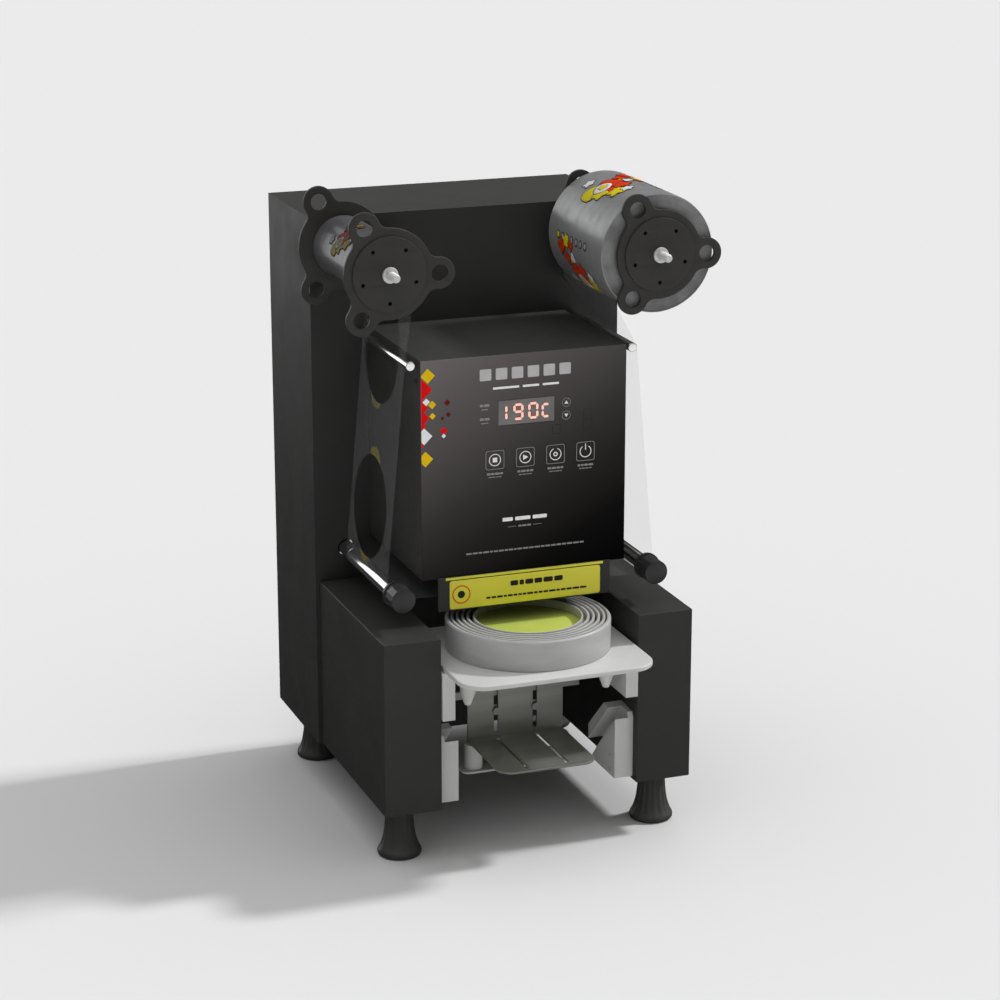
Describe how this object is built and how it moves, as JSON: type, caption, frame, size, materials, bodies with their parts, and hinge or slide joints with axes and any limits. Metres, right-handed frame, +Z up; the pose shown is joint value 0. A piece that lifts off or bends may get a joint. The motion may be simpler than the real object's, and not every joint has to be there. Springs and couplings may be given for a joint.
{
  "type": "cup sealing machine",
  "caption": "Counter-top cup sealer: column with head, sliding cup tray between two arms, film reels and rollers, cup lifter, hot press.",
  "frame": {"origin": "centre of the bounding box at worktop level, where the feet stand", "axes": "+Z up, -Y towards the user (the control panel faces -Y), +X to the right as the user faces it"},
  "size_m": [0.3496, 0.385, 0.5845],
  "materials": {
    "black_paint": "satin black powder coat with a fine texture",
    "panel_gloss": "glossy black overlay, slightly lighter towards its top left",
    "dark_plastic": "moulded black plastic, satin",
    "display_window": "grey tinted window with red digits",
    "board_green": "circuit board",
    "chrome_steel": "polished",
    "clear_film": "clear sealing film",
    "printed_film": "frosted silver film, wound",
    "white_plastic": "white moulded plastic, satin",
    "lime_plastic": "yellow-green, satin",
    "rubber_black": "semi-matt",
    "steel": "brushed",
    "cast_aluminium": "cast"
  },
  "bodies": {
    "root": {"column_shell": "black_paint", "rear_cover": "black_paint", "arm_cover_left": "black_paint", "arm_cover_right": "black_paint", "head_shell": "black_paint", "control_panel": "panel_gloss", "display_window": "display_window", "control_board": "board_green", "finger_guard": "black_paint", "guide_rod_left": "chrome_steel", "guide_rod_right": "chrome_steel", "film_web": "clear_film", "tray_rail_left": "white_plastic", "tray_rail_right": "white_plastic", "cam_bracket_left": "white_plastic", "cam_bracket_right": "white_plastic", "foot_front_left": "rubber_black", "foot_front_right": "rubber_black", "foot_rear_left": "rubber_black", "foot_rear_right": "rubber_black", "press_frame": "steel", "press_motor": "steel", "tray_motor": "steel", "takeup_motor": "steel", "power_inlet": "dark_plastic"},
    "supply_reel": {"supply_shaft": "steel", "supply_front_disc": "dark_plastic", "supply_back_disc": "dark_plastic", "supply_film_roll": "printed_film"},
    "takeup_reel": {"takeup_shaft": "steel", "takeup_front_disc": "dark_plastic", "takeup_back_disc": "dark_plastic", "takeup_film_roll": "printed_film"},
    "left_roller": {"roller_left": "chrome_steel", "roller_cap_left": "dark_plastic"},
    "right_roller": {"roller_right": "chrome_steel", "roller_cap_right": "dark_plastic"},
    "tray": {"tray_plate": "white_plastic", "tray_hanger": "white_plastic", "cup_disc": "lime_plastic", "cup_ring_1": "white_plastic", "cup_ring_2": "white_plastic", "cup_ring_3": "white_plastic", "cup_ring_4": "white_plastic", "cup_ring_5": "white_plastic", "cup_ring_6": "white_plastic"},
    "cup_lifter": {"lifter_plate": "steel", "lifter_base": "white_plastic"},
    "drive_screw": {"tray_screw": "steel"},
    "press": {"crosshead": "cast_aluminium", "heater_block": "cast_aluminium", "cutter_ring": "steel"},
    "cam": {"press_cam": "steel"},
    "rocker": {"power_rocker": "dark_plastic"},
    "key_stop_body": {"key_stop": "panel_gloss"},
    "key_start_body": {"key_start": "panel_gloss"},
    "key_mode_body": {"key_mode": "panel_gloss"},
    "key_power_body": {"key_power": "panel_gloss"},
    "key_up_body": {"key_up": "dark_plastic"},
    "key_down_body": {"key_down": "dark_plastic"}
  },
  "joints": [
    {"name": "tray_slide", "type": "slide", "parent": "root", "child": "tray", "axis": [0, 1, 0], "range_m": [0, 0.085]},
    {"name": "lifter_drop", "type": "slide", "parent": "tray", "child": "cup_lifter", "axis": [0, 0, -1], "range_m": [0, 0.038]},
    {"name": "tray_screw_spin", "type": "hinge", "parent": "root", "child": "drive_screw", "pos_m": [0.04217, -0.006, 0.165], "axis": [0, 1, 0], "range_deg": [-1, 2041]},
    {"name": "cam_spin", "type": "hinge", "parent": "root", "child": "cam", "pos_m": [-0.00983, -0.0165, 0.354], "axis": [0, 1, 0], "range_deg": [0, 300]},
    {"name": "press_slide", "type": "slide", "parent": "root", "child": "press", "axis": [0, 0, -1], "range_m": [0, 0.041], "deforming": ["film_web"]},
    {"name": "supply_reel_spin", "type": "hinge", "parent": "root", "child": "supply_reel", "pos_m": [0.11517, -0.026, 0.53], "axis": [0, -1, 0], "continuous": true},
    {"name": "takeup_reel_spin", "type": "hinge", "parent": "root", "child": "takeup_reel", "pos_m": [-0.13483, -0.026, 0.53], "axis": [0, -1, 0], "continuous": true},
    {"name": "left_roller_spin", "type": "hinge", "parent": "root", "child": "left_roller", "pos_m": [-0.12983, -0.026, 0.2414], "axis": [0, -1, 0], "continuous": true},
    {"name": "right_roller_spin", "type": "hinge", "parent": "root", "child": "right_roller", "pos_m": [0.11017, -0.026, 0.2414], "axis": [0, -1, 0], "continuous": true},
    {"name": "key_stop_press", "type": "slide", "parent": "root", "child": "key_stop_body", "axis": [0, 1, 0], "range_m": [0, 0.0006], "stiffness_N_per_m": 800},
    {"name": "key_start_press", "type": "slide", "parent": "root", "child": "key_start_body", "axis": [0, 1, 0], "range_m": [0, 0.0006], "stiffness_N_per_m": 800},
    {"name": "key_mode_press", "type": "slide", "parent": "root", "child": "key_mode_body", "axis": [0, 1, 0], "range_m": [0, 0.0006], "stiffness_N_per_m": 800},
    {"name": "key_power_press", "type": "slide", "parent": "root", "child": "key_power_body", "axis": [0, 1, 0], "range_m": [0, 0.0006], "stiffness_N_per_m": 800},
    {"name": "key_up_press", "type": "slide", "parent": "root", "child": "key_up_body", "axis": [0, 1, 0], "range_m": [0, 0.0006], "stiffness_N_per_m": 800},
    {"name": "key_down_press", "type": "slide", "parent": "root", "child": "key_down_body", "axis": [0, 1, 0], "range_m": [0, 0.0006], "stiffness_N_per_m": 800},
    {"name": "power_rocker_tilt", "type": "hinge", "parent": "root", "child": "rocker", "pos_m": [0.04817, 0.1859, 0.095], "axis": [1, 0, 0], "range_deg": [0, 16]}
  ],
  "couplings": [
    {"joint": "lifter_drop", "follows": "tray_slide", "ratio": 0.44706},
    {"joint": "tray_screw_spin", "follows": "tray_slide", "rad_per_m": 418.88},
    {"joint": "press_slide", "follows": "cam_spin", "m_per_rad": 0.0078304},
    {"joint": "takeup_reel_spin", "follows": "supply_reel_spin", "ratio": 1.9107},
    {"joint": "left_roller_spin", "follows": "supply_reel_spin", "ratio": -7.6429},
    {"joint": "right_roller_spin", "follows": "supply_reel_spin", "ratio": -7.6429}
  ]
}
